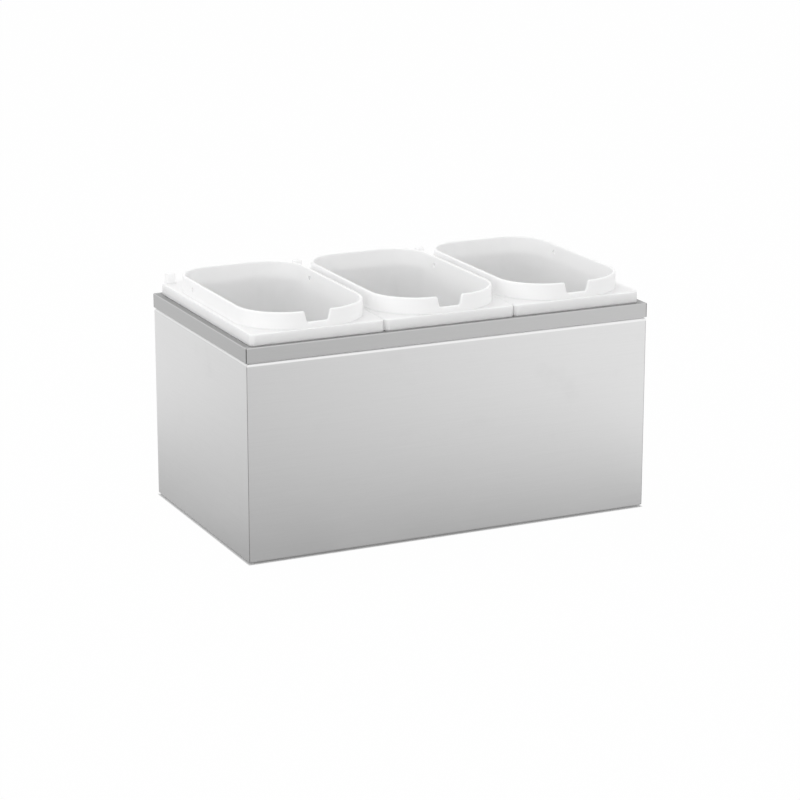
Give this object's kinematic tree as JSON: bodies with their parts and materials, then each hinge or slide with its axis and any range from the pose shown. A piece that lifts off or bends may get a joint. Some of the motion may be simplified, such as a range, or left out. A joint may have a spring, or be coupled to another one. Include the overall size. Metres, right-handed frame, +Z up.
{
  "type": "sauce dispenser",
  "caption": "Countertop sauce dispenser: folded brushed steel housing with a mitred rim, in which open white plastic tubs with a raised collar and a front notch hang by their flanges.",
  "frame": {"origin": "on the surface that the feet stand on, under the middle of the housing", "axes": "+X along the row of tubs to the right seen from the front, +Y to the back, +Z up"},
  "size_m": [0.485, 0.28, 0.2712],
  "materials": {
    "panel_steel": "satin brushed stainless steel",
    "rim_steel": "satin brushed stainless steel, darker",
    "inner_steel": "mill finished stainless steel",
    "tub_plastic": "white moulded plastic, soft gloss",
    "foot_rubber": "matt black rubber",
    "fastener_steel": "plain stainless steel",
    "rivet_aluminium": "plain aluminium"
  },
  "bodies": {
    "housing": {"front_panel": "panel_steel", "back_panel": "panel_steel", "left_panel": "panel_steel", "right_panel": "panel_steel", "rim_front": "rim_steel", "rim_back": "rim_steel", "rim_left": "rim_steel", "rim_right": "rim_steel", "divider_rail_left": "inner_steel", "divider_rail_right": "inner_steel", "corner_angle_front_left": "inner_steel", "corner_angle_front_right": "inner_steel", "corner_angle_back_left": "inner_steel", "corner_angle_back_right": "inner_steel", "base_plate": "inner_steel", "foot_front_left": "foot_rubber", "foot_front_right": "foot_rubber", "foot_back_left": "foot_rubber", "foot_back_right": "foot_rubber", "foot_screws": "fastener_steel", "foot_washers": "fastener_steel", "foot_nuts": "fastener_steel", "rim_rivets": "rivet_aluminium"},
    "left_tub": {"sauce_tub_left": "tub_plastic"},
    "centre_tub": {"sauce_tub_centre": "tub_plastic"},
    "right_tub": {"sauce_tub_right": "tub_plastic"}
  },
  "joints": [
    {"name": "left_tub_lift", "type": "slide", "parent": "housing", "child": "left_tub", "axis": [0, 0, 1], "range_m": [0, 0.25]},
    {"name": "centre_tub_lift", "type": "slide", "parent": "housing", "child": "centre_tub", "axis": [0, 0, 1], "range_m": [0, 0.25]},
    {"name": "right_tub_lift", "type": "slide", "parent": "housing", "child": "right_tub", "axis": [0, 0, 1], "range_m": [0, 0.25]}
  ]
}
